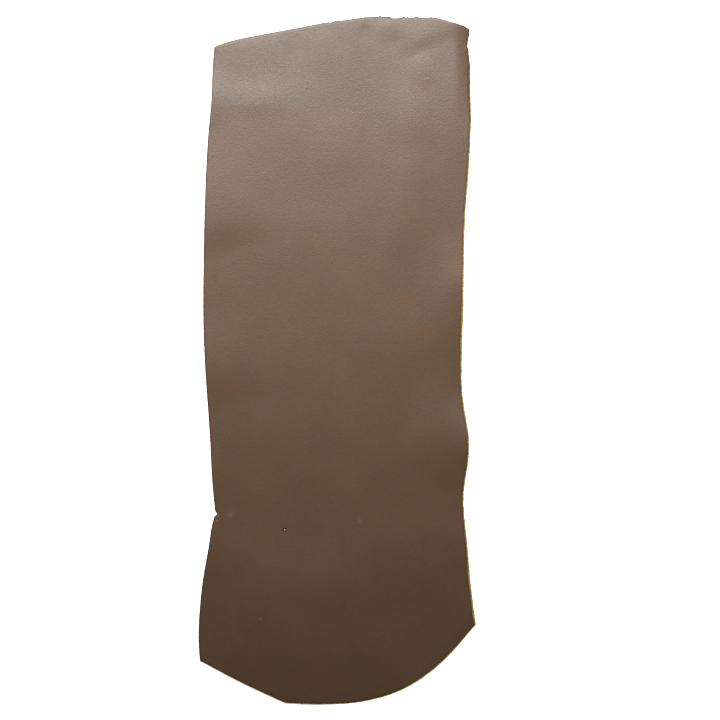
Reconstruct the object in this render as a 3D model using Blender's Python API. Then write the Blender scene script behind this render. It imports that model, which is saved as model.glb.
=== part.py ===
"""A leather hide: one cut of finished brown leather, lying grain side up.

Metres, +Z up. +Y runs towards the head end, where the cut slants, and -Y towards the rounded tail end.
The origin is on the surface that the hide lies on, under the middle of its box.
"""

import bisect
import math
from collections import namedtuple

import bmesh
import bpy

MM = 0.001

# Driving dimensions. Every length in this file is in millimetres until the mesh is made.
HIDE_LENGTH = 1337.0
HIDE_WIDTH = 539.0
LEATHER_THICKNESS = 2.2
GRID_STEP = 19.0

# The cut outline, drawn as smooth runs of (x, y) points and then fitted to the length and width above.
# The long sides run from head to tail, and the ends from left to right. Where two runs meet is a corner.
LEFT_SIDE = [
    [(-238, 607), (-245, 485), (-253, 385), (-258, 225), (-260, 90), (-253, -60), (-246, -160), (-235, -297)],
    [(-235, -297), (-248, -355), (-263, -445), (-269, -540), (-266, -583)],
]
RIGHT_SIDE = [
    [(256, 641), (253.5, 612), (258.5, 540), (258.5, 430), (249, 285), (245, 165), (241, 11)],
    [(241, 11), (242, -60), (254.5, -165), (244, -270), (252.5, -360), (259, -435), (269, -512)],
]
HEAD_END = [
    [(-238, 607), (-183, 624.5), (-28, 654), (69, 666.5), (185, 664.5), (224, 655.5), (256, 641)],
]
TAIL_END = [
    [(-266, -583), (-183, -627), (-100, -665)],
    [(-100, -665), (-28, -668.5), (50, -663), (127, -638.5), (185, -602), (224, -565.5), (269, -512)],
]
X, Y = 0, 1

# A short tear in the left side, where its two runs meet.
NICK_Y = -297
NICK_HALF_WIDTH = 8.5
NICK_DEPTH = 4.5
# A row of the grid that lies nearer to the tear's own rows than this share of a step gives way to them.
ROW_CLEARANCE = 0.4

# Where the leather stands off the surface: soft ridges, each highest in the middle of its crest. The heading
# is the crest's, in degrees, and the left flank is on the left of someone who faces along that heading. The cut
# edge waves, so it bears on the surface at a few well-spread places, and the hide doesn't rock.
Ridge = namedtuple("Ridge", "name x y heading half_length left_flank right_flank height")
RIDGES = [
    Ridge("upper left", -225, 508, -5, 190, 32, 75, 1.9),
    Ridge("middle left", -262, 273, -7, 190, 130, 90, 4.2),
    Ridge("lower left", -262, -28, 10, 140, 125, 70, 3.6),
    Ridge("above the tear", -195, -165, 4, 100, 90, 58, 1.8),
    Ridge("below the tear", -268, -381, 10, 170, 84, 74, 2.8),
    Ridge("upper right", 262, 117, 6, 190, 128, 134, 7.5),
    Ridge("middle right", 262, -156, -4, 160, 94, 91, 6.5),
    Ridge("lower right", 262, -339, 4, 120, 84, 78, 2.4),
    Ridge("cupped side by the head", 216, 590, 88, 185, 72, 64, 6.0),
    Ridge("shoulder", 8, 412, 0, 100, 120, 72, 1.7),
    Ridge("right of the middle", 122, 269, -10, 90, 110, 72, 2.0),
    Ridge("tail", 74, -403, 8, 160, 150, 78, 3.6),
    Ridge("tail left", -140, -504, -20, 180, 110, 84, 3.6),
    Ridge("head end", -85, 652, 12, 150, 70, 60, 1.5),
    Ridge("tail end left", -180, -640, -26, 95, 60, 85, 2.0),
    Ridge("tail end middle", -10, -690, 0, 110, 60, 80, 2.4),
    Ridge("tail end right", 190, -610, 42, 120, 60, 80, 2.2),
]


def curve_value(run, at, given):
    """The smooth curve through a run's points, read where its `given` coordinate, X or Y, is `at`."""
    points = sorted((point[given], point[1 - given]) for point in run)
    steps = [(b[1] - a[1]) / (b[0] - a[0]) for a, b in zip(points, points[1:])]
    slopes = [steps[0], *((a + b) / 2 for a, b in zip(steps, steps[1:])), steps[-1]]
    i = min(max(bisect.bisect_right([point[0] for point in points], at) - 1, 0), len(points) - 2)
    span = points[i + 1][0] - points[i][0]
    t = min(max((at - points[i][0]) / span, 0.0), 1.0)
    from_start = (1 + 2 * t) * (1 - t) ** 2 * points[i][1] + t * (1 - t) ** 2 * span * slopes[i]
    from_end = t * t * (3 - 2 * t) * points[i + 1][1] - t * t * (1 - t) * span * slopes[i + 1]
    return from_start + from_end


def side_value(runs, at, given):
    """The same along a whole side or end: the run that spans `at` answers."""
    for run in runs:
        ends = sorted((run[0][given], run[-1][given]))
        if ends[0] <= at <= ends[1]:
            return curve_value(run, at, given)
    raise ValueError(f"{at} is past the ends of this side")


def nick_depth(y):
    """How far the tear cuts into the left side at this y."""
    return NICK_DEPTH * max(0.0, 1 - abs(y - NICK_Y) / NICK_HALF_WIDTH)


def side_point(runs, share):
    """The point of a long side that is this share of the way down it."""
    head, tail = runs[0][0][Y], runs[-1][-1][Y]
    y = head + share * (tail - head)
    x = side_value(runs, y, Y)
    return (x + nick_depth(y), y) if runs is LEFT_SIDE else (x, y)


def end_point(runs, share):
    """The point of an end that is this share of the way across it."""
    left, right = runs[0][0][X], runs[-1][-1][X]
    x = left + share * (right - left)
    return x, side_value(runs, x, X)


def outline_blend(u, v):
    """A point inside the drawn outline: u is its share from left to right, and v from head to tail."""
    left, right = side_point(LEFT_SIDE, v), side_point(RIGHT_SIDE, v)
    head, tail = end_point(HEAD_END, u), end_point(TAIL_END, u)
    head_left, head_right = LEFT_SIDE[0][0], RIGHT_SIDE[0][0]
    tail_left, tail_right = LEFT_SIDE[-1][-1], RIGHT_SIDE[-1][-1]
    return [
        (1 - u) * left[k] + u * right[k] + (1 - v) * head[k] + v * tail[k]
        - (1 - v) * ((1 - u) * head_left[k] + u * head_right[k])
        - v * ((1 - u) * tail_left[k] + u * tail_right[k])
        for k in (X, Y)
    ]


def row_shares():
    """The share of the way down of each row of the grid: even steps, and the lips and the tip of the tear."""
    head, tail = LEFT_SIDE[0][0][Y], LEFT_SIDE[-1][-1][Y]
    tear = [(NICK_Y + side * NICK_HALF_WIDTH - head) / (tail - head) for side in (1, 0, -1)]
    count = round(HIDE_LENGTH / GRID_STEP)
    even = [i / count for i in range(count + 1)]
    return sorted([v for v in even if all(abs(v - t) > ROW_CLEARANCE / count for t in tear)] + tear)


def fitted(rows):
    """The rows of points, centred on the origin and stretched to the hide's width and length."""
    for axis, size in ((X, HIDE_WIDTH), (Y, HIDE_LENGTH)):
        values = [point[axis] for row in rows for point in row]
        low, high = min(values), max(values)
        for row in rows:
            for point in row:
                point[axis] = (point[axis] - (low + high) / 2) * size / (high - low)
    return rows


def swell(t):
    """A smooth hump: 1 in the middle, and nothing at all from 1 outwards."""
    return (1 - t * t) ** 2 if abs(t) < 1 else 0.0


def lift(x, y):
    """How far the underside stands off the surface: nothing where the hide lies flat."""
    height = 0.0
    for ridge in RIDGES:
        turn = math.radians(ridge.heading)
        along = (x - ridge.x) * math.cos(turn) + (y - ridge.y) * math.sin(turn)
        across = (y - ridge.y) * math.cos(turn) - (x - ridge.x) * math.sin(turn)
        flank = ridge.left_flank if across > 0 else ridge.right_flank
        height += ridge.height * swell(along / ridge.half_length) * swell(across / flank)
    return height


def hide_mesh():
    """The underside of the hide as one sheet of quads that face up."""
    columns = round(HIDE_WIDTH / GRID_STEP)
    rows = fitted([[outline_blend(i / columns, v) for i in range(columns + 1)] for v in row_shares()])
    bm = bmesh.new()
    sheet = [[bm.verts.new((x * MM, y * MM, lift(x, y) * MM)) for x, y in row] for row in rows]
    for upper, lower in zip(sheet, sheet[1:]):
        for i in range(columns):
            bm.faces.new((lower[i], lower[i + 1], upper[i + 1], upper[i]))
    mesh = bpy.data.meshes.new("leather_hide")
    bm.to_mesh(mesh)
    bm.free()
    mesh.shade_smooth()
    return mesh


def leather_material():
    """Drum-dyed brown leather with a soft waxy sheen."""
    material = bpy.data.materials.new("brown_leather")
    material.use_nodes = True
    shader = material.node_tree.nodes["Principled BSDF"]
    shader.inputs["Base Color"].default_value = (0.105, 0.068, 0.046, 1)
    shader.inputs["Roughness"].default_value = 0.48
    shader.inputs["Metallic"].default_value = 0.0
    return material


def build_hide():
    hide = bpy.data.objects.new("leather_hide", hide_mesh())
    bpy.context.scene.collection.objects.link(hide)
    hide.data.materials.append(leather_material())
    skin = hide.modifiers.new("thickness", "SOLIDIFY")
    skin.thickness = LEATHER_THICKNESS * MM
    skin.offset = 1
    skin.use_even_offset = True
    skin.use_rim = True


for old in list(bpy.data.objects):
    bpy.data.objects.remove(old)
build_hide()
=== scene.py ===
import bisect
import math
import random

import bmesh
import bpy
from mathutils import Matrix, Vector, kdtree, noise


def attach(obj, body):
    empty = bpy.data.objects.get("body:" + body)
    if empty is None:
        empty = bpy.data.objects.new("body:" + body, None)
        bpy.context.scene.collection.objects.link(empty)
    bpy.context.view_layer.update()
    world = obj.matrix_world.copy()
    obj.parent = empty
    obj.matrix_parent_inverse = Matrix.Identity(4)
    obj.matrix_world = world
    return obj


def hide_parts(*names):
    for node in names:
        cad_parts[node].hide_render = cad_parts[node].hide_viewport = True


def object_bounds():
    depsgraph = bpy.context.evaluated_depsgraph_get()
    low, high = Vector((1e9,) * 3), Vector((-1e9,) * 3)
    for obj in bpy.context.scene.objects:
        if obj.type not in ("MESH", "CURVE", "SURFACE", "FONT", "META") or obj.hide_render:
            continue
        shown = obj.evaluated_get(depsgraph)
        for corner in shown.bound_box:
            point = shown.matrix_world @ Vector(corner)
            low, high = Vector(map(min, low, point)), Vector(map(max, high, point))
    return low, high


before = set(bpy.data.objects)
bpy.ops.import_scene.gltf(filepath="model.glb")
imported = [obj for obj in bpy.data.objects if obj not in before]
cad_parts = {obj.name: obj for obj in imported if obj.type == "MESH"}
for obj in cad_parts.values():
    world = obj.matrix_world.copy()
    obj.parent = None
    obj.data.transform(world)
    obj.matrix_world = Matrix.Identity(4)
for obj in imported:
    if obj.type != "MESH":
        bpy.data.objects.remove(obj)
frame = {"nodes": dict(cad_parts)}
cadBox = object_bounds()
mm = 0.001
print("frame loaded:", ", ".join(frame["nodes"]))


def deselectAll():
    if bpy.context.object and bpy.context.object.mode != "OBJECT":
        bpy.ops.object.mode_set(mode="OBJECT")
    bpy.ops.object.select_all(action="DESELECT")


def makeActive(piece):
    deselectAll()
    piece.select_set(True)
    bpy.context.view_layer.objects.active = piece


def hexColour(code):
    # sRGB hex to the linear colour that the shaders take
    levels = [int(code[i:i + 2], 16) / 255 for i in (1, 3, 5)]
    linear = [c / 12.92 if c <= 0.04045 else ((c + 0.055) / 1.055) ** 2.4 for c in levels]
    return (*linear, 1.0)


def addNode(tree, kind, settings=None, inputs=None, stops=None):
    # inputs take a plain value, or (node, output name) for a link
    # stops are a colour ramp's (position, colour)
    node = tree.nodes.new(kind)
    for i, (position, colour) in enumerate(stops or []):
        band = node.color_ramp.elements
        stop = band[i] if i < 2 else band.new(position)
        stop.position, stop.color = position, colour
    for name, value in (settings or {}).items():
        setattr(node, name, value)
    for name, value in (inputs or {}).items():
        if isinstance(value, tuple) and isinstance(value[0], bpy.types.Node):
            tree.links.new(value[0].outputs[value[1]], node.inputs[name])
        else:
            node.inputs[name].default_value = value
    return node


def newMaterial(name):
    material = bpy.data.materials.new(name)
    material.use_nodes = True
    tree = material.node_tree
    return material, tree, tree.nodes["Principled BSDF"]


# The cut outline, in millimetres.
hideCut = {
    # smooth runs of points: the long sides from head to tail, and the ends from left to right
    "left": [
        [(-238.5, 609), (-241.5, 570), (-244.5, 496), (-250, 440), (-254, 372), (-258.5, 226),
         (-260, 91), (-257.5, 16), (-253, -59), (-246.5, -159), (-242.5, -231), (-238.5, -276),
         (-237, -289), (-236, -296)],
        [(-236, -296), (-238, -302), (-240, -309.5), (-243, -320), (-248, -354), (-263, -445), (-269, -540),
         (-266.5, -583)],
    ],
    "right": [
        [(257, 643), (257, 633), (255, 621), (256, 595), (258.5, 576), (259, 551), (259.5, 502), (260.5, 482),
         (259, 432), (255.5, 362), (249.5, 286), (246, 166), (245, 95), (242.5, 12)],
        [(242.5, 12), (243.5, -59), (256, -164), (246, -270), (253.5, -360), (260, -435), (269.5, -512)],
    ],
    "head": [
        [(-238.5, 609), (-220, 616.3), (-183, 625.8), (-128, 636.3), (-60, 649), (-28, 655),
         (20, 661.5), (49, 665.7), (67, 667), (84, 666.2), (108, 664.4), (126, 665.2), (149, 665.7),
         (164, 665), (171, 665.4), (186, 665.2), (205, 661.4), (214, 658.4), (231, 653.5),
         (248, 648.5), (257, 643)],
    ],
    "tail": [
        [(-266.5, -583), (-183.5, -626.5), (-101, -665)],
        [(-101, -665), (-28, -667.5), (50, -662), (127, -638.5), (185.5, -601), (224.5, -564.5),
         (269.5, -512)],
    ],
}
alongAxis = {"left": 1, "right": 1, "head": 0, "tail": 0}  # the coordinate that runs along each side


def curveValue(run, at, given):
    # the smooth curve through a run's points, read where its given coordinate is `at`
    points = sorted((point[given], point[1 - given]) for point in run)
    steps = [(b[1] - a[1]) / (b[0] - a[0]) for a, b in zip(points, points[1:])]
    slopes = [steps[0], *((a + b) / 2 for a, b in zip(steps, steps[1:])), steps[-1]]
    i = min(max(bisect.bisect_right([point[0] for point in points], at) - 1, 0), len(points) - 2)
    span = points[i + 1][0] - points[i][0]
    t = min(max((at - points[i][0]) / span, 0.0), 1.0)
    fromStart = (1 + 2 * t) * (1 - t) ** 2 * points[i][1] + t * (1 - t) ** 2 * span * slopes[i]
    fromEnd = t * t * (3 - 2 * t) * points[i + 1][1] - t * t * (1 - t) * span * slopes[i + 1]
    return fromStart + fromEnd


def sideValue(side, at):
    given = alongAxis[side]
    for run in hideCut[side]:
        low, high = sorted((run[0][given], run[-1][given]))
        if low - mm <= at <= high + mm:
            return curveValue(run, at, given)
    raise ValueError(f"{at} is past the ends of the {side} side")


def sidePoint(side, share):
    given = alongAxis[side]
    first, last = hideCut[side][0][0][given], hideCut[side][-1][-1][given]
    at = first + share * (last - first)
    return (sideValue(side, at), at) if given else (at, sideValue(side, at))


def insideCut(u, v):
    # a point inside the outline: u is its share from left to right, and v from head to tail
    left, right = sidePoint("left", v), sidePoint("right", v)
    head, tail = sidePoint("head", u), sidePoint("tail", u)
    headLeft, headRight = sidePoint("head", 0), sidePoint("head", 1)
    tailLeft, tailRight = sidePoint("tail", 0), sidePoint("tail", 1)
    return [
        (1 - u) * left[k] + u * right[k] + (1 - v) * head[k] + v * tail[k]
        - (1 - v) * ((1 - u) * headLeft[k] + u * headRight[k])
        - v * ((1 - u) * tailLeft[k] + u * tailRight[k])
        for k in (0, 1)
    ]


# How the hide lies, in millimetres.
hideRelief = {
    # (x, y, heading of the crest in degrees, half length, left flank, right flank, height)
    "ridges": [
        # the left side, from head to tail
        (-157, 500, -2, 120, 48, 38, 0.65),
        (-190, 500, -3, 170, 75, 170, 1.0),
        (-258, 508, 0, 52, 66, 80, 1.9),
        (-115, 478, 2, 190, 190, 200, 1.0),
        (-262, 425, 0, 50, 34, 60, 0.5),
        (-262, 268, 14, 190, 170, 75, 3.4),
        (-50, 250, -12, 110, 66, 150, 0.8),
        (-262, -22, 16, 140, 130, 85, 3.9),
        (-140, -150, 4, 75, 90, 75, 0.9),
        (-262, -245, 0, 56, 90, 60, 2.4),
        (-254, -352, 0, 66, 95, 90, 2.6),
        # the right side
        (262, 150, 6, 110, 110, 120, 3.2),
        (262, 75, 10, 140, 130, 105, 3.6),
        (262, 166, 0, 60, 62, 50, 0.5),
        (262, 250, 0, 60, 75, 60, 0.6),
        (262, 150, 0, 70, 380, 60, 1.6),
        (137, 20, 40, 130, 120, 80, 1.5),
        (262, -158, -14, 150, 100, 112, 6.8),
        (262, -370, 4, 120, 84, 78, 1.8),
        (270, -500, 0, 60, 110, 60, 1.5),
        (262, -168, 0, 48, 78, 50, 2.0),
        # the cupped side by the head, and its rim that dips again
        (262, 600, 88, 380, 200, 60, 6.2),
        (286, 592, 92, 172, 62, 60, -9.1),
        (225, 655, 90, 36, 60, 40, 0.9),
        (235, 690, 0, 60, 60, 90, 1.2),
        (215, 476, 0, 62, 110, 250, 0.5),
        (140, 471, 5, 60, 110, 70, 1.2),
        # the middle
        (0, 620, 90, 150, 80, 60, 1.6),
        (10, 408, 0, 66, 170, 75, 1.0),
        (130, 285, -5, 52, 260, 100, 1.3),
        (70, -402, 4, 125, 120, 100, 3.0),
        (-110, -450, -16, 190, 130, 190, 5.0),
        (-100, -575, -26, 150, 105, 110, 2.7),
        (-85, 652, 12, 150, 70, 60, 0.5),
        (-180, -640, -26, 95, 60, 85, 0.3),
        (190, -610, 42, 120, 60, 80, 0.9),
        # the wrinkles that fan out from the corner by the head
        (163, 569, 20, 40, 28, 50, 0.75),
        (163, 631, 18, 66, 60, 31, 1.15),
        # the head end, which curls a little where the knife lifted
        (104, 651, 16, 42, 22, 38, 1.1),
        (50, 645, 4, 100, 60, 150, 1.1),
        (52, 657, 8, 22, 30, 18, 0.5),
        (-36, 612, 8, 46, 50, 70, 0.8),
        (-150, 612, 11, 105, 26, 70, 0.8),
        (-244, 616, 0, 30, 26, 26, 0.5),
        # faint growth lines down the neck
        (-62, 600, 88, 120, 9, 12, 0.15),
        (-30, 590, 91, 110, 8, 10, 0.12),
        (-14, 560, 90, 90, 7, 9, 0.1),
    ],
    # leather is never quite even: (feature size, height) of the softer and firmer places
    "swells": [(150, 0.22), (52, 0.07)],
    "swellSeed": 3.7,
    "thickness": 2.2,
}


def swell(t):
    # a smooth hump: 1 in the middle, and nothing from 1 outwards
    return (1 - t * t) ** 2 if abs(t) < 1 else 0.0


def undersideHeight(x, y):
    # how far the underside stands off the surface
    height = 0.0
    for cx, cy, heading, halfLength, leftFlank, rightFlank, crest in hideRelief["ridges"]:
        turn = math.radians(heading)
        along = (x - cx) * math.cos(turn) + (y - cy) * math.sin(turn)
        across = (y - cy) * math.cos(turn) - (x - cx) * math.sin(turn)
        flank = leftFlank if across > 0 else rightFlank
        height += crest * swell(along / halfLength) * swell(across / flank)
    return height


def grainUnevenness(x, y):
    # how much thicker or thinner the hide is here
    return sum(
        height * noise.noise(Vector((x / size, y / size, hideRelief["swellSeed"] + size)))
        for size, height in hideRelief["swells"]
    )


# The hide is a sheet drawn on a grid, then cut, thickened and given its raw edge.
hideSheet = {
    "name": "hide_sheet",
    "columns": 116, "rows": 290,
    "borderCell": 6.5,        # mm, the outermost cells, so the slanted cut fits inside them
    "borderCuts": 2,          # each border edge gets this many more points, about 1.5 mm apart
    "edgeRoll": 0.8,          # mm, the strip along the rim where the grain rolls over
    "edgeDrop": 0.35,         # mm, how far it rolls down
    "edgeLayers": 2,          # rings across the raw cut
    "edgeReach": 12.0,        # mm, how far in from the rim the burnished line is measured
    "cutTexture": [(2.4, 0.28), (1.1, 0.16)],   # mm, (feature size, push) of the fibrous raw cut
    "rimStep": 1.5,           # mm between the rim's points
    "smoothAngle": 50,        # degrees; the cut's corners stay crisp past this
}
# how ragged the cut is: (feature size, depth) in mm for each side
cutRoughness = {
    "left": [(9.0, 0.16), (3.2, 0.10)],
    "right": [(7.5, 0.42), (4.2, 0.62), (2.2, 0.34)],
    "head": [(8.0, 0.30), (3.4, 0.26)],
    "tail": [(11.0, 0.22), (3.6, 0.16)],
}
cutSeed = {"left": 1.3, "right": 17.9, "head": 31.1, "tail": 47.7}   # keeps the sides from looking alike
# how wide the slanted cut shows from above: (place along the side, mm)
cutSlant = {
    "left": [(607, 0.5), (-583, 0.7)],
    "right": [(641, 0.7), (600, 1.4), (560, 2.2), (300, 3.4), (60, 3.8), (-60, 3.2), (-200, 2.6), (-330, 3.0),
              (-430, 3.8), (-495, 4.4), (-512, 3.0)],
    "head": [(-238, 0.6), (120, 0.8), (256, 1.2)],
    "tail": [(-266, 1.6), (-100, 1.8), (127, 1.9), (269, 2.3)],
}
# the slant wavers along the cut: (feature size in mm, share of the width, seed)
slantWaver = [(14, 0.22, 5.5), (5, 0.18, 9.5)]
# nicks, nubs and steps in the cut: (side, place along it, half width, mm outwards, shape)
cutMarks = [
    ("left", -297, 5.0, -4.2, "peak"),      # the short tear
    ("head", -46, 2.2, 0.9, "peak"),
    ("head", -13, 3.4, -1.5, "peak"),
    ("head", -4, 3.0, 0.9, "peak"),
    ("head", 105, 74.0, 3.0, "ledge"),      # the knife lifted here and came back a little lower
    ("head", 83, 3.0, 2.4, "peak"),
    ("head", 129, 4.4, 2.7, "peak"),
    ("head", 137, 2.6, 2.2, "peak"),
    ("head", 153, 4.0, 1.5, "peak"),
    ("head", 157, 2.6, 3.6, "peak"),
    ("head", 182.5, 2.4, 1.5, "peak"),
    ("right", 612, 9.0, -1.9, "peak"),      # a dent below the corner
    ("tail", -68, 2.4, 1.7, "peak"),
]
nubPoint = 1.2      # 1 gives a nub straight flanks, and more a finer point
ledgeEnd = 0.03     # the share of its half width in which a ledge drops back


def markOffset(side, at):
    offset = 0.0
    for onSide, place, halfWidth, outwards, shape in cutMarks:
        t = (at - place) / halfWidth
        if onSide != side:
            continue
        if shape == "peak" and abs(t) < 1:
            offset += outwards * (1 - abs(t)) ** nubPoint
        if shape == "ledge" and -1 < t < ledgeEnd:
            offset += outwards * min(1 + t, 1.0) ** 2 * min((ledgeEnd - t) / ledgeEnd, 1.0)
    return offset


def roughOffset(side, at):
    return sum(
        depth * noise.noise(Vector((at / size, cutSeed[side], size)))
        for size, depth in cutRoughness[side]
    )


def slantWidth(side, at):
    points = sorted(cutSlant[side])
    i = min(max(bisect.bisect_right([p[0] for p in points], at) - 1, 0), len(points) - 2)
    t = min(max((at - points[i][0]) / (points[i + 1][0] - points[i][0]), 0.0), 1.0)
    width = points[i][1] + t * (points[i + 1][1] - points[i][1])
    waver = sum(share * noise.noise(Vector((at / size, seed, 0))) for size, share, seed in slantWaver)
    return width * (1 + waver)


def gridShare(even, count, length):
    # an even share from 0 to 1, moved so that the first and last cells are a border cell wide
    border = hideSheet["borderCell"] / length
    i = even * count
    if i <= 1:
        return border * i
    if i >= count - 1:
        return 1 - border * (count - i)
    return border + (1 - 2 * border) * (i - 1) / (count - 2)


def nearestSide(x, y):
    # the side of the outline that a rim point lies on
    gaps = {}
    for side in hideCut:
        given = alongAxis[side]
        at = y if given else x
        ends = sorted((hideCut[side][0][0][given], hideCut[side][-1][-1][given]))
        held = min(max(at, ends[0]), ends[1])
        there = (sideValue(side, held), held) if given else (held, sideValue(side, held))
        gaps[side] = math.hypot(there[0] - x, there[1] - y)
    return min(gaps, key=gaps.get)


def rimLoop(bm):
    # the rim's vertices in order
    start = next(v for v in bm.verts if v.is_boundary)
    loop, last, here = [start], None, start
    while True:
        ways = [e.other_vert(here) for e in here.link_edges if e.is_boundary]
        onward = next(v for v in ways if v is not last)
        if onward is start:
            return loop
        loop.append(onward)
        last, here = here, onward


def outwardAt(points, i):
    # the direction out of the outline at a rim point, in the plane
    before, after = points[i - 1], points[(i + 1) % len(points)]
    along = Vector((after[0] - before[0], after[1] - before[1]))
    across = Vector((along.y, -along.x)).normalized()
    return across


def turnsLeft(points):
    return sum(a[0] * b[1] - b[0] * a[1] for a, b in zip(points, points[1:] + points[:1])) > 0


def addHideSheet():
    deselectAll()
    columns, rows = hideSheet["columns"], hideSheet["rows"]
    bpy.ops.mesh.primitive_grid_add(x_subdivisions=columns, y_subdivisions=rows, size=1)
    hide = bpy.context.object
    hide.name = hide.data.name = hideSheet["name"]
    width, length = ((cadBox[1][k] - cadBox[0][k]) / mm for k in (0, 1))
    for vertex in hide.data.vertices:
        u = gridShare(vertex.co.x + 0.5, columns, width)
        v = gridShare(0.5 - vertex.co.y, rows, length)
        x, y = insideCut(u, v)
        vertex.co = (x * mm, y * mm, 0)

    # more points along the rim, each put on the cut as the knife left it
    bpy.ops.object.mode_set(mode="EDIT")
    bpy.ops.mesh.select_mode(type="EDGE")
    bpy.ops.mesh.select_all(action="DESELECT")
    bm = bmesh.from_edit_mesh(hide.data)
    for edge in bm.edges:
        edge.select_set(edge.is_boundary)
    bmesh.update_edit_mesh(hide.data)
    bpy.ops.mesh.subdivide(number_cuts=hideSheet["borderCuts"], ngon=False)
    bm = bmesh.from_edit_mesh(hide.data)
    loop = rimLoop(bm)
    points = [(v.co.x / mm, v.co.y / mm) for v in loop]
    if not turnsLeft(points):
        loop.reverse()
        points.reverse()
    moved = []
    for i, (x, y) in enumerate(points):
        side = nearestSide(x, y)
        at = (x, y)[alongAxis[side]]
        offset = roughOffset(side, at) + markOffset(side, at)
        moved.append(Vector((x, y)) + outwardAt(points, i) * offset)
    for vertex, place in zip(loop, moved):
        vertex.co = (place.x * mm, place.y * mm, 0)
    bmesh.update_edit_mesh(hide.data)

    # the strip along the rim that rolls over
    bpy.ops.mesh.select_mode(type="FACE")
    bpy.ops.mesh.select_all(action="SELECT")
    bpy.ops.mesh.inset(thickness=hideSheet["edgeRoll"] * mm, use_boundary=True, use_even_offset=True)
    bpy.ops.object.mode_set(mode="OBJECT")
    for vertex in hide.data.vertices:
        vertex.co.z = undersideHeight(vertex.co.x / mm, vertex.co.y / mm) * mm
    print("  cut out:", len(hide.data.polygons), "faces, rim of", len(loop), "points")
    return hide


def thickenHide(hide):
    makeActive(hide)
    skin = hide.modifiers.new("thickness", "SOLIDIFY")
    skin.thickness = hideRelief["thickness"] * mm
    skin.offset = 1
    skin.use_even_offset = True
    skin.use_rim = True
    bpy.ops.object.modifier_apply(modifier=skin.name)


def cutRawEdge(hide):
    # faces by what they are: 0 the grain side, 1 the flesh side, 2 the raw cut
    bpy.ops.object.mode_set(mode="EDIT")
    bpy.ops.mesh.select_mode(type="EDGE")
    bpy.ops.mesh.select_all(action="DESELECT")
    bm = bmesh.from_edit_mesh(hide.data)
    bm.normal_update()
    for face in bm.faces:
        face.material_index = 0 if face.normal.z > 0.5 else 1 if face.normal.z < -0.5 else 2
    rimUp = [e for e in bm.edges if e.is_manifold and all(f.material_index == 2 for f in e.link_faces)]
    rimVertices = {v for e in rimUp for v in e.verts}
    grainRim = {v for f in bm.faces if f.material_index == 0 for v in f.verts} & rimVertices
    fleshRim = rimVertices - grainRim

    # the knife leans, so the grain ends further in than the flesh does
    rollRing = {}
    for vertex in grainRim:
        for edge in vertex.link_edges:
            other = edge.other_vert(vertex)
            if other not in grainRim and other not in fleshRim:
                rollRing[other] = vertex
    inward = {}
    for vertex in grainRim:
        inner = [v for v, rim in rollRing.items() if rim is vertex]
        if inner:
            step = inner[0].co - vertex.co
            inward[vertex] = Vector((step.x, step.y, 0)).normalized()
    shift = {}
    for vertex, direction in inward.items():
        x, y = vertex.co.x / mm, vertex.co.y / mm
        side = nearestSide(x, y)
        shift[vertex] = direction * slantWidth(side, (x, y)[alongAxis[side]]) * mm
    for ringVertex, rim in rollRing.items():
        if rim in shift:
            ringVertex.co += shift[rim]
    for vertex, move in shift.items():
        vertex.co += move
        vertex.co.z -= hideSheet["edgeDrop"] * mm

    # every grain vertex gets the hide's own uneven thickness
    grainVertices = {v for f in bm.faces if f.material_index == 0 for v in f.verts}
    for vertex in grainVertices:
        vertex.co.z += grainUnevenness(vertex.co.x / mm, vertex.co.y / mm) * mm

    # rings across the cut, roughened so that it isn't one clean facet
    for edge in rimUp:
        edge.select_set(True)
    bmesh.update_edit_mesh(hide.data)
    bpy.ops.mesh.subdivide(number_cuts=hideSheet["edgeLayers"])
    bm = bmesh.from_edit_mesh(hide.data)
    bm.normal_update()
    middle = [v for v in bm.verts if all(f.material_index == 2 for f in v.link_faces)]
    for vertex in middle:
        place = vertex.co / mm
        push = sum(depth * noise.noise(place / size) for size, depth in hideSheet["cutTexture"])
        vertex.co += vertex.normal * push * mm
    bmesh.update_edit_mesh(hide.data)
    bpy.ops.object.mode_set(mode="OBJECT")
    print("  raw edge cut:", len(middle), "points across it")


def measureEdge(hide):
    # edgeReach: mm in from the rim on the grain side; cutDepth: 0 at the grain, 1 at the flesh
    mesh = hide.data
    grain, cut = set(), set()
    for face in mesh.polygons:
        if face.material_index == 0:
            grain.update(face.vertices)
        elif face.material_index == 2:
            cut.update(face.vertices)
    rim = sorted(grain & cut)
    tree = kdtree.KDTree(len(rim))
    for i in rim:
        x, y, _ = mesh.vertices[i].co
        tree.insert((x, y, 0), i)
    tree.balance()
    reach = mesh.attributes.new("edgeReach", "FLOAT", "POINT")
    depth = mesh.attributes.new("cutDepth", "FLOAT", "POINT")
    for vertex in mesh.vertices:
        x, y, z = vertex.co
        gap = tree.find((x, y, 0))[2] / mm
        reach.data[vertex.index].value = min(gap, hideSheet["edgeReach"])
        under = undersideHeight(x / mm, y / mm) * mm
        depth.data[vertex.index].value = 1 - min(max((z - under) / (hideRelief["thickness"] * mm), 0), 1)


def finishNormals(hide):
    makeActive(hide)
    bpy.ops.object.mode_set(mode="EDIT")
    bpy.ops.mesh.select_all(action="SELECT")
    bpy.ops.mesh.normals_make_consistent(inside=False)
    bpy.ops.object.mode_set(mode="OBJECT")
    bpy.ops.object.shade_smooth_by_angle(angle=math.radians(hideSheet["smoothAngle"]))


hide = addHideSheet()
thickenHide(hide)
cutRawEdge(hide)
measureEdge(hide)
finishNormals(hide)
print("hide sheet:", len(hide.data.vertices), "vertices")


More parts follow.
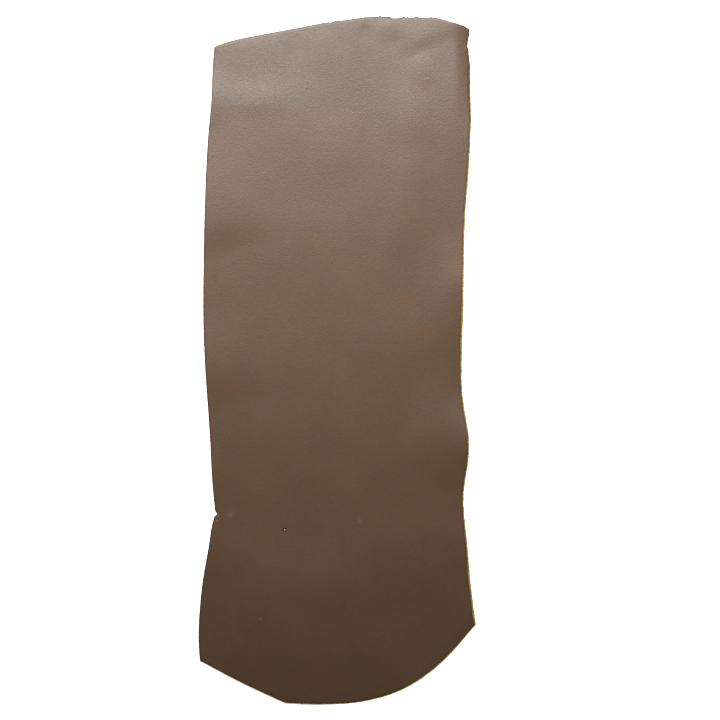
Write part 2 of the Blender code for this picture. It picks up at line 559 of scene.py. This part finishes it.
# Loose fibres along the raw cut.
fibreFringe = {
    "name": "raw_edge_fibres",
    "radius": 0.11,                 # mm at the root
    "length": 2.6,                  # mm, before each is varied
    "sides": 4, "tip": 0.25,        # a strand's sides, and its tip's share of the root's radius
    "bends": (0.45, 0.75),          # shares of its length where it bends
    "droop": 0.16, "sway": 0.10, "wave": 3,   # shares of its length, and radians along it
    "gaps": {"left": 22.0, "right": 1.9, "head": 8.0, "tail": 7.0},   # mm between fibres
    "share": {"left": 0.45, "right": 1.0, "head": 0.55, "tail": 0.6},   # of the full length
    "vary": (0.35, 1.15),           # how short and how long a strand can come
    "swing": 34,                    # degrees that they stray from straight out
    "rise": (-0.05, 0.45),          # how far they point down or up
    "twist": 0.9,                   # radians, at most
    "thin": 0.8,                    # how much of the full radius is left
    "rooted": 0.15,                 # mm of each that is in the cut
    "clear": 0.05,                  # mm kept above the surface
    "seed": 41,
}


def oneFibre():
    # a tapered strand along +X that droops at its tip
    deselectAll()
    length, radius = fibreFringe["length"] * mm, fibreFringe["radius"] * mm
    bpy.ops.mesh.primitive_cone_add(
        vertices=fibreFringe["sides"], radius1=radius, radius2=radius * fibreFringe["tip"], depth=length,
        end_fill_type="NGON", location=(length / 2, 0, 0), rotation=(0, math.pi / 2, 0))
    strand = bpy.context.object
    bpy.ops.object.transform_apply(location=True, rotation=True, scale=True)
    bpy.ops.object.mode_set(mode="EDIT")
    for bend in fibreFringe["bends"]:
        bpy.ops.mesh.select_all(action="SELECT")
        bpy.ops.mesh.bisect(plane_co=(length * bend, 0, 0), plane_no=(1, 0, 0))
    bpy.ops.object.mode_set(mode="OBJECT")
    for vertex in strand.data.vertices:
        share = vertex.co.x / length
        vertex.co.z -= fibreFringe["droop"] * length * share ** 2
        vertex.co.y += fibreFringe["sway"] * length * math.sin(fibreFringe["wave"] * share)
    strand.name = fibreFringe["name"]
    return strand


def addFibres(hide):
    dice = random.Random(fibreFringe["seed"])
    strand = oneFibre()
    mesh = hide.data
    cutFaces = [f for f in mesh.polygons if f.material_index == 2]
    copies = []
    for face in cutFaces:
        x, y, _ = face.center / mm
        side = nearestSide(x, y)
        # the cut has edgeLayers + 1 faces to each step of the rim
        chance = hideSheet["rimStep"] / (hideSheet["edgeLayers"] + 1) / fibreFringe["gaps"][side]
        if dice.random() > chance:
            continue
        outwards = Vector((face.normal.x, face.normal.y, 0)).normalized()
        swing = Matrix.Rotation(math.radians(dice.gauss(0, fibreFringe["swing"])), 3, "Z")
        tip = (swing @ outwards + Vector((0, 0, dice.uniform(*fibreFringe["rise"])))).normalized()
        twist = Matrix.Rotation(dice.uniform(-fibreFringe["twist"], fibreFringe["twist"]), 4, "X")
        turn = tip.to_track_quat("X", "Z").to_matrix().to_4x4() @ twist
        size = fibreFringe["share"][side] * dice.uniform(*fibreFringe["vary"])
        root = face.center - face.normal * fibreFringe["rooted"] * mm
        copy = strand.copy()
        copy.data = strand.data.copy()
        stretch = Matrix.Diagonal((size, fibreFringe["thin"], fibreFringe["thin"], 1))
        copy.data.transform(Matrix.Translation(root) @ turn @ stretch)
        bpy.context.collection.objects.link(copy)
        copies.append(copy)
    deselectAll()
    for copy in copies:
        copy.select_set(True)
    bpy.context.view_layer.objects.active = copies[0]
    bpy.ops.object.join()
    fringe = bpy.context.object
    bpy.data.objects.remove(strand)
    fringe.name = fringe.data.name = fibreFringe["name"]
    # nothing hangs below the surface that the hide lies on
    for vertex in fringe.data.vertices:
        vertex.co.z = max(vertex.co.z, fibreFringe["clear"] * mm)
    bpy.ops.object.shade_smooth()
    print("fibres:", len(copies), "strands,", len(fringe.data.polygons), "faces")
    return fringe


fringe = addFibres(hide)


grainFinish = {
    # drum-dyed full-grain leather, aniline finished and waxed: one even brown all through the grain,
    # slightly warmer and cooler in patches, with fine pores and a soft sheen rather than a gloss
    "dye": "#463525", "dyeWarm": "#493523", "dyeCool": "#433528",
    "patch": 0.120, "blotch": 0.011,           # m, size of the broad patches and of the small blotches
    "dyeDepth": (0.93, 1.07),                  # how light and how deep the patches are
    # real pores are about 0.3 mm; drawn at 2.4 mm so that they show
    "pore": 0.0024, "poreDepth": 0.00020,
    "crease": 0.0060, "creaseDepth": 0.00016,    # m, the net of fine creases between groups of pores
    "roughness": 0.433, "waxVary": 0.03, "specular": 0.31, "ior": 1.5,
    # the burnished line along the cut, whose left tint is painted shade of the edge: its width in mm, its
    # colour on each side, how far it covers the dye along the ends and along the sides, and the x in m where
    # each side's tint starts and is full
    "line": 1.9, "lineLeftShade": "#361A1C", "lineRight": "#46291A", "lineEnds": "#3E3008",
    "lineDepth": (0.4, 0.95), "leftFade": (-0.218, -0.230), "rightFade": (0.215, 0.232),
    "waver": 0.005, "waverDepth": 1.2,         # m and mm, how the line wanders
    "scar": "#8C8070", "scarFlat": 0.1,        # the share of a scar's radius that is evenly pale
}
fleshFinish = {
    # suede-like flesh side, split and buffed: a soft nap with no shine
    "nap": "#7A5A3C", "napLight": "#8F6E4C", "roughness": 0.92,
    "fibre": 0.0016, "drift": 0.05, "napDepth": 0.0005,      # m
}
cutFinish = {
    # the raw cut: packed tan fibres, with the dye soaked a little way in from the grain,
    # and painted paler and yellower towards the tail as painted light on the cut there
    "soaked": "#44321A", "core": "#6B5A30", "loose": "#907F50", "strand": "#A09064",
    # the pale tail colour is painted light on the cut, spread over the given y range
    "tail": "#F2C424", "tailLightFade": (-0.50, -0.60), "tailLightCover": 0.8,   # m along y, and how far it covers
    "fibre": 0.0014, "fibreDepth": 0.0006, "strandVary": 0.004,        # m
    "roughness": 0.85,
}
# faint scars in the grain: (x, y in mm, radius in mm, how far they pale the dye)
grainScars = [
    (45, -312, 7, 0.10),
    (-206, -299, 9, 0.08),
    (-232, -311.5, 3.6, 0.26),
    (-229.5, -299, 2.6, 0.22),
    (-148, -500.5, 1.9, 0.55),
]
# one deep prick: a dark rim round a pale eye, radii in mm, and the share of them that has its full colour
grainPrick = {
    "place": (-101.6, -328.1), "rim": 3.9, "eye": 1.1, "flat": 0.8, "dark": "#030200", "pale": "#CCC8A4",
}


def leatherGrain():
    finish = grainFinish
    material, tree, shader = newMaterial("drum_dyed_full_grain_leather")
    place = addNode(tree, "ShaderNodeTexCoord")
    where = (place, "Object")

    # dye: broad patches and small blotches, both faint
    patches = addNode(tree, "ShaderNodeTexNoise", None,
                      {"Vector": where, "Scale": 1 / finish["patch"], "Detail": 3.0, "Roughness": 0.55})
    blotches = addNode(tree, "ShaderNodeTexNoise", None,
                       {"Vector": where, "Scale": 1 / finish["blotch"], "Detail": 4.0, "Roughness": 0.75})
    dye = addNode(tree, "ShaderNodeValToRGB", None, {"Fac": (blotches, "Fac")},
                  [(0.36, hexColour(finish["dyeCool"])), (0.64, hexColour(finish["dyeWarm"])),
                   (0.5, hexColour(finish["dye"]))])
    depthOfDye = addNode(tree, "ShaderNodeMapRange", None,
                         {"Value": (patches, "Fac"), "From Min": 0.3, "From Max": 0.7,
                          "To Min": finish["dyeDepth"][0], "To Max": finish["dyeDepth"][1]})
    dyed = addNode(tree, "ShaderNodeVectorMath", {"operation": "SCALE"},
                   {0: (dye, "Color"), "Scale": (depthOfDye, "Result")})

    # the burnished line along the cut, tinted by the side that it is on; the left side's dark tint is painted
    # shade of the edge
    spot = addNode(tree, "ShaderNodeSeparateXYZ", None, {"Vector": where})
    rightShare = addNode(tree, "ShaderNodeMapRange", None,
                         {"Value": (spot, "X"), "From Min": finish["rightFade"][0],
                          "From Max": finish["rightFade"][1]})
    leftShare = addNode(tree, "ShaderNodeMapRange", None,
                        {"Value": (spot, "X"), "From Min": finish["leftFade"][0],
                         "From Max": finish["leftFade"][1]})
    # on the left side the line's dark tint is painted shade along the edge
    lineTint = addNode(tree, "ShaderNodeMix", {"data_type": "RGBA"},
                       {"Factor": (leftShare, "Result"), 6: hexColour(finish["lineEnds"]),
                        7: hexColour(finish["lineLeftShade"])})
    lineTint = addNode(tree, "ShaderNodeMix", {"data_type": "RGBA"},
                       {"Factor": (rightShare, "Result"), 6: (lineTint, 2),
                        7: hexColour(finish["lineRight"])})
    reach = addNode(tree, "ShaderNodeAttribute", {"attribute_name": "edgeReach"})
    waver = addNode(tree, "ShaderNodeTexNoise", None,
                    {"Vector": where, "Scale": 1 / finish["waver"], "Detail": 2.0})
    waverReach = addNode(tree, "ShaderNodeMath", {"operation": "MULTIPLY_ADD"},
                         {0: (waver, "Fac"), 1: -finish["waverDepth"], 2: (reach, "Fac")})
    line = addNode(tree, "ShaderNodeMapRange", {"interpolation_type": "SMOOTHSTEP"},
                   {"Value": (waverReach, "Value"), "From Min": finish["line"] * 0.25,
                    "From Max": finish["line"], "To Min": 1.0, "To Max": 0.0})
    eitherSide = addNode(tree, "ShaderNodeMath", {"operation": "MAXIMUM"},
                         {0: (leftShare, "Result"), 1: (rightShare, "Result")})
    lineDepth = addNode(tree, "ShaderNodeMapRange", None,
                        {"Value": (eitherSide, "Value"), "To Min": finish["lineDepth"][0],
                         "To Max": finish["lineDepth"][1]})
    lineShare = addNode(tree, "ShaderNodeMath", {"operation": "MULTIPLY"},
                        {0: (line, "Result"), 1: (lineDepth, "Result")})
    lined = addNode(tree, "ShaderNodeMix", {"data_type": "RGBA"},
                    {"Factor": (lineShare, "Value"), 6: (dyed, "Vector"), 7: (lineTint, 2)})

    # pores and creases
    pores = addNode(tree, "ShaderNodeTexVoronoi", {"feature": "SMOOTH_F1"},
                    {"Vector": where, "Scale": 1 / finish["pore"], "Smoothness": 0.6})
    fine = addNode(tree, "ShaderNodeTexNoise", None,
                   {"Vector": where, "Scale": 1 / finish["pore"], "Detail": 2.0, "Roughness": 0.7})
    creases = addNode(tree, "ShaderNodeTexNoise", None,
                      {"Vector": where, "Scale": 1 / finish["crease"], "Detail": 3.0, "Roughness": 0.6,
                       "Distortion": 0.6})
    bumps = addNode(tree, "ShaderNodeBump", None,
                    {"Strength": 1.0, "Distance": finish["creaseDepth"], "Height": (creases, "Fac")})
    bumps = addNode(tree, "ShaderNodeBump", None,
                    {"Strength": 1.0, "Distance": finish["poreDepth"], "Height": (fine, "Fac"),
                     "Normal": (bumps, "Normal")})
    bumps = addNode(tree, "ShaderNodeBump", None,
                    {"Strength": 1.0, "Distance": finish["poreDepth"] * 0.5, "Height": (pores, "Distance"),
                     "Normal": (bumps, "Normal")})

    # the scars and the prick: each a soft spot of its own colour, laid over the last
    spots = [
        (x, y, finish["scarFlat"] * radius, radius, pale, finish["scar"])
        for x, y, radius, pale in grainScars
    ]
    for part, tint in (("rim", "dark"), ("eye", "pale")):
        radius = grainPrick[part]
        spots.append((*grainPrick["place"], grainPrick["flat"] * radius, radius, 1.0, grainPrick[tint]))
    colour = (lined, 2)
    for x, y, flat, radius, share, tint in spots:
        top = undersideHeight(x, y) + hideRelief["thickness"]
        gap = addNode(tree, "ShaderNodeVectorMath", {"operation": "DISTANCE"},
                      {0: where, 1: (x * mm, y * mm, top * mm)})
        cover = addNode(tree, "ShaderNodeMapRange", {"interpolation_type": "SMOOTHSTEP"},
                        {"Value": (gap, "Value"), "From Min": flat * mm, "From Max": radius * mm,
                         "To Min": share, "To Max": 0.0})
        mixed = addNode(tree, "ShaderNodeMix", {"data_type": "RGBA"},
                        {"Factor": (cover, "Result"), 6: colour, 7: hexColour(tint)})
        colour = (mixed, 2)

    tree.links.new(colour[0].outputs[colour[1]], shader.inputs["Base Color"])
    wax = addNode(tree, "ShaderNodeMapRange", None,
                  {"Value": (creases, "Fac"), "From Min": 0.3, "From Max": 0.7,
                   "To Min": finish["roughness"] - finish["waxVary"],
                   "To Max": finish["roughness"] + finish["waxVary"]})
    tree.links.new(wax.outputs["Result"], shader.inputs["Roughness"])
    tree.links.new(bumps.outputs["Normal"], shader.inputs["Normal"])
    shader.inputs["Specular IOR Level"].default_value = finish["specular"]
    shader.inputs["IOR"].default_value = finish["ior"]
    return material


def suedeFlesh():
    finish = fleshFinish
    material, tree, shader = newMaterial("suede_flesh_side")
    place = addNode(tree, "ShaderNodeTexCoord")
    nap = addNode(tree, "ShaderNodeTexNoise", None,
                  {"Vector": (place, "Object"), "Scale": 1 / finish["fibre"], "Detail": 4.0,
                   "Roughness": 0.7})
    drift = addNode(tree, "ShaderNodeTexNoise", None,
                    {"Vector": (place, "Object"), "Scale": 1 / finish["drift"], "Detail": 3.0})
    shade = addNode(tree, "ShaderNodeMath", {"operation": "ADD"}, {0: (nap, "Fac"), 1: (drift, "Fac")})
    colour = addNode(tree, "ShaderNodeValToRGB", None, {"Fac": (shade, "Value")},
                     [(0.8, hexColour(finish["nap"])), (1.0, hexColour(finish["napLight"]))])
    lay = addNode(tree, "ShaderNodeBump", None,
                  {"Strength": 0.9, "Distance": finish["napDepth"], "Height": (nap, "Fac")})
    tree.links.new(colour.outputs["Color"], shader.inputs["Base Color"])
    tree.links.new(lay.outputs["Normal"], shader.inputs["Normal"])
    shader.inputs["Roughness"].default_value = finish["roughness"]
    shader.inputs["Specular IOR Level"].default_value = 0.2
    shader.inputs["Sheen Weight"].default_value = 0.25
    shader.inputs["Sheen Roughness"].default_value = 0.6
    return material


def rawCut():
    finish = cutFinish
    material, tree, shader = newMaterial("raw_cut_leather_edge")
    place = addNode(tree, "ShaderNodeTexCoord")
    depth = addNode(tree, "ShaderNodeAttribute", {"attribute_name": "cutDepth"})
    fibres = addNode(tree, "ShaderNodeTexNoise", None,
                     {"Vector": (place, "Object"), "Scale": 1 / finish["fibre"], "Detail": 4.0,
                      "Roughness": 0.7})
    soak = addNode(tree, "ShaderNodeMath", {"operation": "MULTIPLY_ADD"},
                   {0: (fibres, "Fac"), 1: 0.5, 2: (depth, "Fac")})
    colour = addNode(tree, "ShaderNodeValToRGB", None, {"Fac": (soak, "Value")},
                     [(0.30, hexColour(finish["soaked"])), (1.0, hexColour(finish["loose"])),
                      (0.62, hexColour(finish["core"]))])
    spot = addNode(tree, "ShaderNodeSeparateXYZ", None, {"Vector": (place, "Object")})
    # paler towards the tail: painted light on the cut
    tailLightShare = addNode(tree, "ShaderNodeMapRange", None,
                        {"Value": (spot, "Y"), "From Min": finish["tailLightFade"][0],
                         "From Max": finish["tailLightFade"][1], "To Max": finish["tailLightCover"]})
    paintedLightCut = addNode(tree, "ShaderNodeMix", {"data_type": "RGBA"},
                    {"Factor": (tailLightShare, "Result"), 6: (colour, "Color"), 7: hexColour(finish["tail"])})
    rough = addNode(tree, "ShaderNodeBump", None,
                    {"Strength": 1.0, "Distance": finish["fibreDepth"], "Height": (fibres, "Fac")})
    tree.links.new(paintedLightCut.outputs[2], shader.inputs["Base Color"])
    tree.links.new(rough.outputs["Normal"], shader.inputs["Normal"])
    shader.inputs["Roughness"].default_value = finish["roughness"]
    shader.inputs["Specular IOR Level"].default_value = 0.25
    return material


def looseFibre():
    # collagen strands pulled out of the cut: pale, dry and dull
    material, tree, shader = newMaterial("loose_hide_fibre")
    place = addNode(tree, "ShaderNodeTexCoord")
    vary = addNode(tree, "ShaderNodeTexNoise", None,
                   {"Vector": (place, "Object"), "Scale": 1 / cutFinish["strandVary"], "Detail": 1.0})
    colour = addNode(tree, "ShaderNodeValToRGB", None, {"Fac": (vary, "Fac")},
                     [(0.35, hexColour(cutFinish["core"])), (0.65, hexColour(cutFinish["strand"]))])
    tree.links.new(colour.outputs["Color"], shader.inputs["Base Color"])
    shader.inputs["Roughness"].default_value = 0.8
    shader.inputs["Specular IOR Level"].default_value = 0.3
    return material


# in the order of the faces' numbers: the grain side, the flesh side, the raw cut
for material in (leatherGrain(), suedeFlesh(), rawCut()):
    hide.data.materials.append(material)
fringe.data.materials.append(looseFibre())
print("materials made")


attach(hide, "root")
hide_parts("leather_hide")
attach(fringe, "root")


studio = {
    "floorSize": 9.0, "floorLevel": -0.0003, "floorColour": "#F4F4F2", "floorGlow": 0.55,
    "keyPlace": (-0.15, 1.185, 1.29), "keyAim": (0.0, -0.075, 0.0), "keySize": (1.6, 0.55), "keySpread": 93,
    "keyPower": 31.6,
    "skyStrength": 0.02,
}
cameraView = {"over": (0.0447, 0.001), "height": 3.0, "frame": 1.3978}


def addFloor():
    deselectAll()
    bpy.ops.mesh.primitive_plane_add(size=studio["floorSize"], location=(0, 0, studio["floorLevel"]))
    floor = bpy.context.object
    floor.name = "floor"
    # matt white paper lit from below as well, so that it stays white and takes no hard shadow
    material, tree, shader = newMaterial("matt_white_paper")
    shader.inputs["Base Color"].default_value = hexColour(studio["floorColour"])
    shader.inputs["Roughness"].default_value = 0.95
    shader.inputs["Specular IOR Level"].default_value = 0.05
    shader.inputs["Emission Color"].default_value = (1, 1, 1, 1)
    shader.inputs["Emission Strength"].default_value = studio["floorGlow"]
    floor.data.materials.append(material)


def addKeyLight():
    light = bpy.data.lights.new("softbox", "AREA")
    light.shape = "RECTANGLE"
    light.size, light.size_y = studio["keySize"]
    light.energy = studio["keyPower"]
    light.spread = math.radians(studio["keySpread"])
    lamp = bpy.data.objects.new("softbox", light)
    bpy.context.scene.collection.objects.link(lamp)
    lamp.location = studio["keyPlace"]
    aim = Vector(studio["keyAim"]) - Vector(studio["keyPlace"])
    lamp.rotation_euler = aim.to_track_quat("-Z", "Y").to_euler()
    lamp.visible_camera = False


def addSky():
    world = bpy.data.worlds.new("studio_sky")
    bpy.context.scene.world = world
    world.use_nodes = True
    world.node_tree.nodes["Background"].inputs["Color"].default_value = (1, 1, 1, 1)
    world.node_tree.nodes["Background"].inputs["Strength"].default_value = studio["skyStrength"]


def addCamera():
    lens = bpy.data.cameras.new("camera")
    lens.sensor_width = 36
    lens.lens = lens.sensor_width * cameraView["height"] / cameraView["frame"]
    camera = bpy.data.objects.new("camera", lens)
    bpy.context.scene.collection.objects.link(camera)
    camera.location = (*cameraView["over"], cameraView["height"])
    bpy.context.scene.camera = camera


addFloor()
addKeyLight()
addSky()
addCamera()
bpy.context.scene.view_settings.view_transform = "Standard"
print("studio ready")
